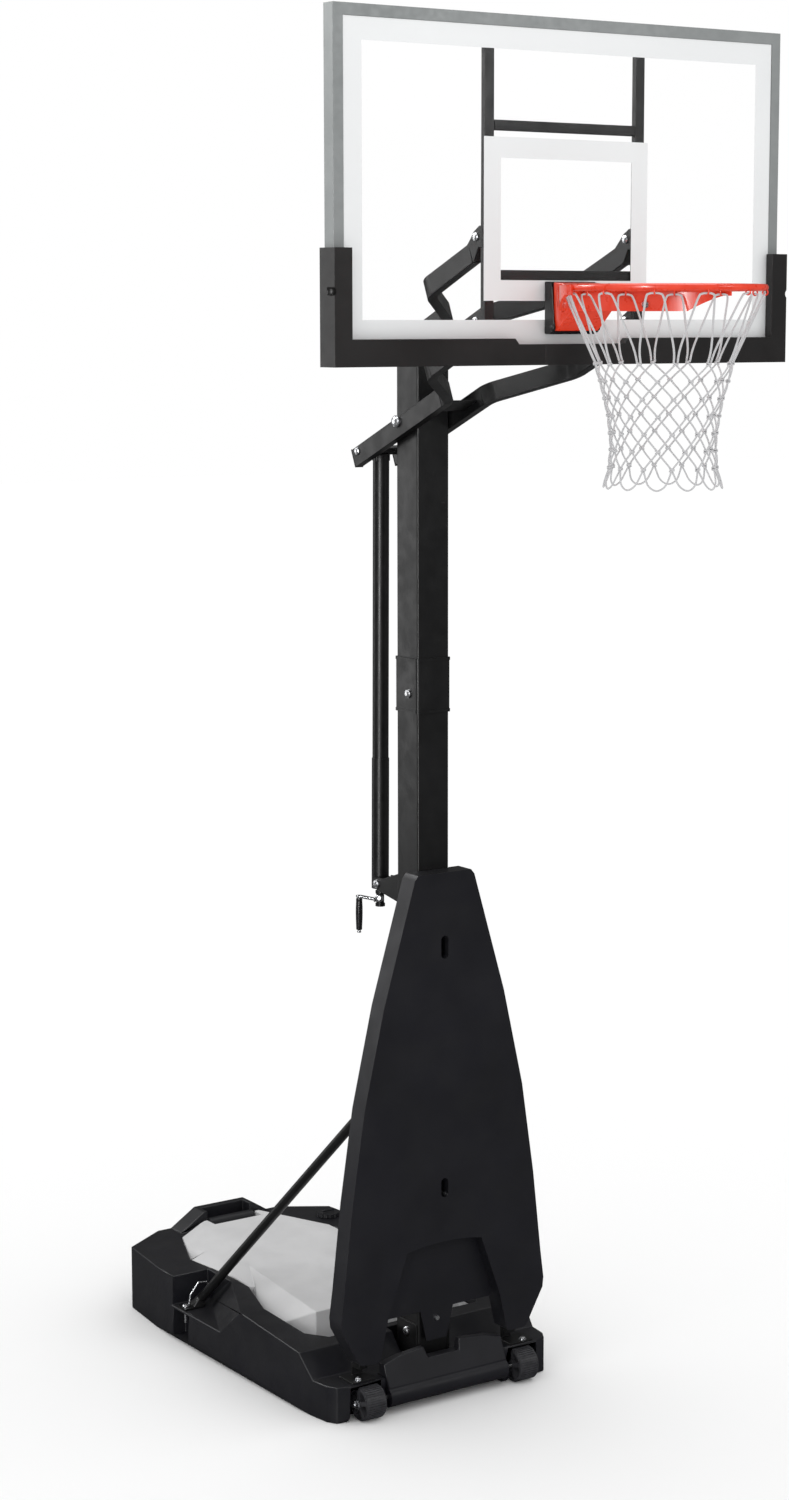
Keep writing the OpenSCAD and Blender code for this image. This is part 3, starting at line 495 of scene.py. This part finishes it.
# the net's outline as (height, radius), from the ring down
NET_PROFILE = [(3.026, 0.2365), (2.98, 0.214), (2.92, 0.187), (2.862, 0.164), (2.80, 0.146), (2.74, 0.132),
               (2.665, 0.124), (2.616, 0.129), (2.566, 0.143)]
NET_ROWS = 7
TOP_ROW_Z = 2.862
ROW_GAP = 0.041
NET_FOOT_Z = 2.568

# radii of the cord in the hanging loops and in the rows below
LOOP_CORD = 0.0026
ROW_CORD = 0.0022

# where a hanging loop leaves its knots, and how far its crest and shoulders reach from the hook
LOOP_FOOT = math.radians(1.5)
LOOP_CREST = math.radians(3)
LOOP_SHOULDER = math.radians(5)

# a knot is two turns of cord, tilted opposite ways: their half width, half depth, places and tilts
KNOT_WIDTH = 0.0050
KNOT_DEPTH = 0.0042
KNOT_TURNS = ((-0.001, 0.5), (0.0012, -0.5))
KNOT_POINTS = 12


def net_radius(z):
    """The net's radius at a height."""
    heights = [p[0] for p in reversed(NET_PROFILE)]
    radii = [p[1] for p in reversed(NET_PROFILE)]
    return float(np.interp(z, heights, radii))


def on_net(centre, angle, z, out=0.0):
    """A point on the net's outline, or a little outside of it."""
    r = net_radius(z) + out
    return centre + Vector((r * math.cos(angle), r * math.sin(angle), z))


def hanging_loop(centre, hook):
    """The loop over a hook: up from one knot, across and down to the next."""
    half = [(HOOK_STEP / 2 - LOOP_FOOT, TOP_ROW_Z + 0.003, 0), (HOOK_STEP * 0.42, 2.90, 0.002),
            (HOOK_STEP * 0.26, 2.97, 0.002), (LOOP_SHOULDER, 3.016, 0.001), (LOOP_CREST, 3.0245, 0)]
    up = [on_net(centre, hook - away, z, out) for away, z, out in half]
    down = [on_net(centre, hook + away, z, out) for away, z, out in reversed(half)]
    return curve_through([*up, on_net(centre, hook, 3.0255), *down], steps=6), LOOP_CORD, False


def knot(centre, angle, z):
    """Two turns of cord around a crossing."""
    middle = on_net(centre, angle, z)
    out = Vector((math.cos(angle), math.sin(angle), 0))
    across = Vector((-math.sin(angle), math.cos(angle), 0))
    routes = []
    for rise, tilt in KNOT_TURNS:
        ring = []
        for k in range(KNOT_POINTS):
            a = 2 * math.pi * k / KNOT_POINTS
            lift = Vector((0, 0, rise + KNOT_DEPTH * tilt * math.cos(a)))
            ring.append(middle + KNOT_WIDTH * math.cos(a) * across + KNOT_DEPTH * math.sin(a) * out + lift)
        routes.append((ring, ROW_CORD, True))
    return routes


def slanting_cord(centre, angle, z, side):
    """The cord from a knot to its neighbour in the row below, bowed out a little."""
    bow = 0.0015
    reach = side * HOOK_STEP
    cord = [on_net(centre, angle, z), on_net(centre, angle + reach * 0.17, z - ROW_GAP * 0.35, bow),
            on_net(centre, angle + reach * 0.33, z - ROW_GAP * 0.66, bow),
            on_net(centre, angle + reach / 2, z - ROW_GAP)]
    return curve_through(cord, steps=4), ROW_CORD, False


def bottom_loop(centre, angle, z):
    """The loop that hangs between two knots of the lowest row."""
    half = [(0.0, z, 0), (0.10, z - 0.018, 0.001), (0.20, z - 0.034, 0.001), (0.34, NET_FOOT_Z + 0.004, 0)]
    down = [on_net(centre, angle + HOOK_STEP * share, height, out) for share, height, out in half]
    end = angle + HOOK_STEP
    up = [on_net(centre, end - HOOK_STEP * share, height, out) for share, height, out in reversed(half)]
    middle = on_net(centre, angle + HOOK_STEP * 0.5, NET_FOOT_Z)
    return curve_through([*down, middle, *up], steps=5), ROW_CORD, False


def net_row(centre, row):
    """A row's knots and the cords that hang from them."""
    z = TOP_ROW_Z - row * ROW_GAP
    shift = 0.5 * ((row + 1) % 2)
    routes = []
    for i in range(HOOKS):
        angle = FIRST_HOOK + (i + shift) * HOOK_STEP
        routes += knot(centre, angle, z)
        if row < NET_ROWS - 1:
            routes += [slanting_cord(centre, angle, z, side) for side in (-1, 1)]
        else:
            routes.append(bottom_loop(centre, angle, z))
    return routes


def build_net():
    """Knotted net: twelve hanging loops, seven rows of knots and twelve loops at the bottom."""
    low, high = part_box("rim_ring")
    centre = Vector(((low.x + high.x) / 2, (low.y + high.y) / 2, 0))
    routes = [hanging_loop(centre, FIRST_HOOK + i * HOOK_STEP) for i in range(HOOKS)]
    for row in range(NET_ROWS):
        routes += net_row(centre, row)
    net = piece_of("net_cords", tube_mesh("net_cords", routes), "net_cord")
    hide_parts("net")
    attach(net, body_with("net"))


SPRING_WIRE = 0.0016
SPRING_TURNS = 6
POINTS_PER_TURN = 16


def coil_route(x, low, high):
    """A helix from the back plate to the housing, as long and as wide as the box of the CAD springs."""
    coil = (high.z - low.z) / 2
    reach = coil - SPRING_WIRE
    travel = high.y - low.y - 2 * SPRING_WIRE
    points = []
    for k in range(SPRING_TURNS * POINTS_PER_TURN + 1):
        a = 2 * math.pi * k / POINTS_PER_TURN
        share = k / (SPRING_TURNS * POINTS_PER_TURN)
        points.append((x + reach * math.cos(a), high.y - SPRING_WIRE - share * travel,
                       low.z + coil + reach * math.sin(a)))
    return points, SPRING_WIRE, False


def build_springs():
    """Two coil springs between the back plate and the housing."""
    low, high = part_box("rim_springs")
    coil = (high.z - low.z) / 2
    routes = [coil_route(x, low, high) for x in (low.x + coil, high.x - coil)]
    springs = piece_of("rim_spring_coils", tube_mesh("rim_spring_coils", routes), "zinc_steel")
    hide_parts("rim_springs")
    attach(springs, body_with("rim_springs"))


# ---------------------------------------------------------------- camera, floor and light


CAMERA_PLACE = (-4.392, -6.3738, 2.9772)
CAMERA_TILT = 8.59  # degrees below level
CAMERA_HEADING = 34.82  # degrees to the right of +Y


def place_camera():
    """The photograph's viewpoint: in front of the hoop and to its left, at nearly the ring's height."""
    camera = bpy.data.cameras.new("camera")
    camera.sensor_fit = "VERTICAL"
    camera.sensor_height = 36
    camera.lens = 69.205
    camera.shift_x = -0.0272
    camera.clip_end = 60
    holder = bpy.data.objects.new("camera", camera)
    holder.location = CAMERA_PLACE
    holder.rotation_euler = Euler((math.radians(90 - CAMERA_TILT), 0, math.radians(-CAMERA_HEADING)))
    scene.collection.objects.link(holder)
    scene.camera = holder


def mixed(tree, factor, first, second):
    """Mixes two shader nodes by a factor socket."""
    node = tree.nodes.new("ShaderNodeMixShader")
    tree.links.new(factor, node.inputs["Fac"])
    tree.links.new(first.outputs[0], node.inputs[1])
    tree.links.new(second.outputs[0], node.inputs[2])
    return node


FLOOR_HALF = 40.0


def white_floor():
    """White to the eye and dark in the object's reflections."""
    material, tree, shader = make("floor_white", (0.94, 0.94, 0.94), 0.9, specular=0.0)
    path = tree.nodes.new("ShaderNodeLightPath")
    dark = tree.nodes.new("ShaderNodeBsdfDiffuse")
    dark.inputs["Color"].default_value = (0.12, 0.12, 0.12, 1)
    mix = mixed(tree, path.outputs["Is Glossy Ray"], shader, dark)
    tree.links.new(mix.outputs["Shader"], tree.nodes["Material Output"].inputs["Surface"])
    return material


def place_floor():
    """One large square under the hoop."""
    mesh = bpy.data.meshes.new("floor")
    corners = [(x * FLOOR_HALF, y * FLOOR_HALF, 0) for x, y in ((-1, -1), (1, -1), (1, 1), (-1, 1))]
    mesh.from_pydata(corners, [], [(0, 1, 2, 3)])
    floor = bpy.data.objects.new("floor", mesh)
    scene.collection.objects.link(floor)
    mesh.materials.append(white_floor())


def backdrop(tree, strength):
    """A white surrounding of one strength."""
    node = tree.nodes.new("ShaderNodeBackground")
    node.inputs["Color"].default_value = (1, 1, 1, 1)
    node.inputs["Strength"].default_value = strength
    return node


def soft_light(name, place, target, width, height, power):
    """An area light that only makes highlights, so the floor keeps its even white and soft shadow."""
    light = bpy.data.lights.new(name, "AREA")
    light.shape = "RECTANGLE"
    light.size = width
    light.size_y = height
    light.energy = power
    holder = bpy.data.objects.new(name, light)
    holder.location = place
    holder.rotation_euler = (Vector(target) - Vector(place)).to_track_quat("-Z", "Y").to_euler()
    holder.visible_diffuse = False
    scene.collection.objects.link(holder)


FILL = 1.08  # how brightly the room lights the object
MIRRORED = 0.11  # how bright it is in reflections
SEEN = 1.0  # how bright it is behind the object

# name, place, the point it faces, width, height, watts
LIGHTS = [
    ("overhead", (0.5, -0.5, 7.5), (0, 0, 0), 5.0, 5.0, 300),
    ("high_left", (-4.2, 4.6, 6.4), (0, 0, 2.0), 2.6, 2.6, 460),
    ("low_left", (-3.8, 5.6, 2.2), (0, 0, 1.2), 2.2, 3.6, 50),
    ("left_strip", (-6.0, -4.2, 2.8), (0, 0, 1.8), 0.4, 6.0, 520),
    ("right_front", (3.4, -6.0, 4.6), (0, 0, 1.8), 1.6, 1.6, 50),
]


def build_room():
    """A white room, with little of it in the reflections."""
    world = bpy.data.worlds.new("studio")
    scene.world = world
    world.use_nodes = True
    tree = world.node_tree
    path = tree.nodes.new("ShaderNodeLightPath")
    fill = tree.nodes["Background"]
    fill.inputs["Color"].default_value = (1, 1, 1, 1)
    fill.inputs["Strength"].default_value = FILL
    room = mixed(tree, path.outputs["Is Glossy Ray"], fill, backdrop(tree, MIRRORED))
    room = mixed(tree, path.outputs["Is Camera Ray"], room, backdrop(tree, SEEN))
    tree.links.new(room.outputs[0], tree.nodes["World Output"].inputs["Surface"])


def light_studio():
    """The room and its lights, shown without any tone curve."""
    build_room()
    for light in LIGHTS:
        soft_light(*light)
    scene.view_settings.view_transform = "Standard"


# ---------------------------------------------------------------- the scene

dress_nodes()
place_camera()
place_floor()
light_studio()
soft = soften_edges()
build_net()
build_springs()
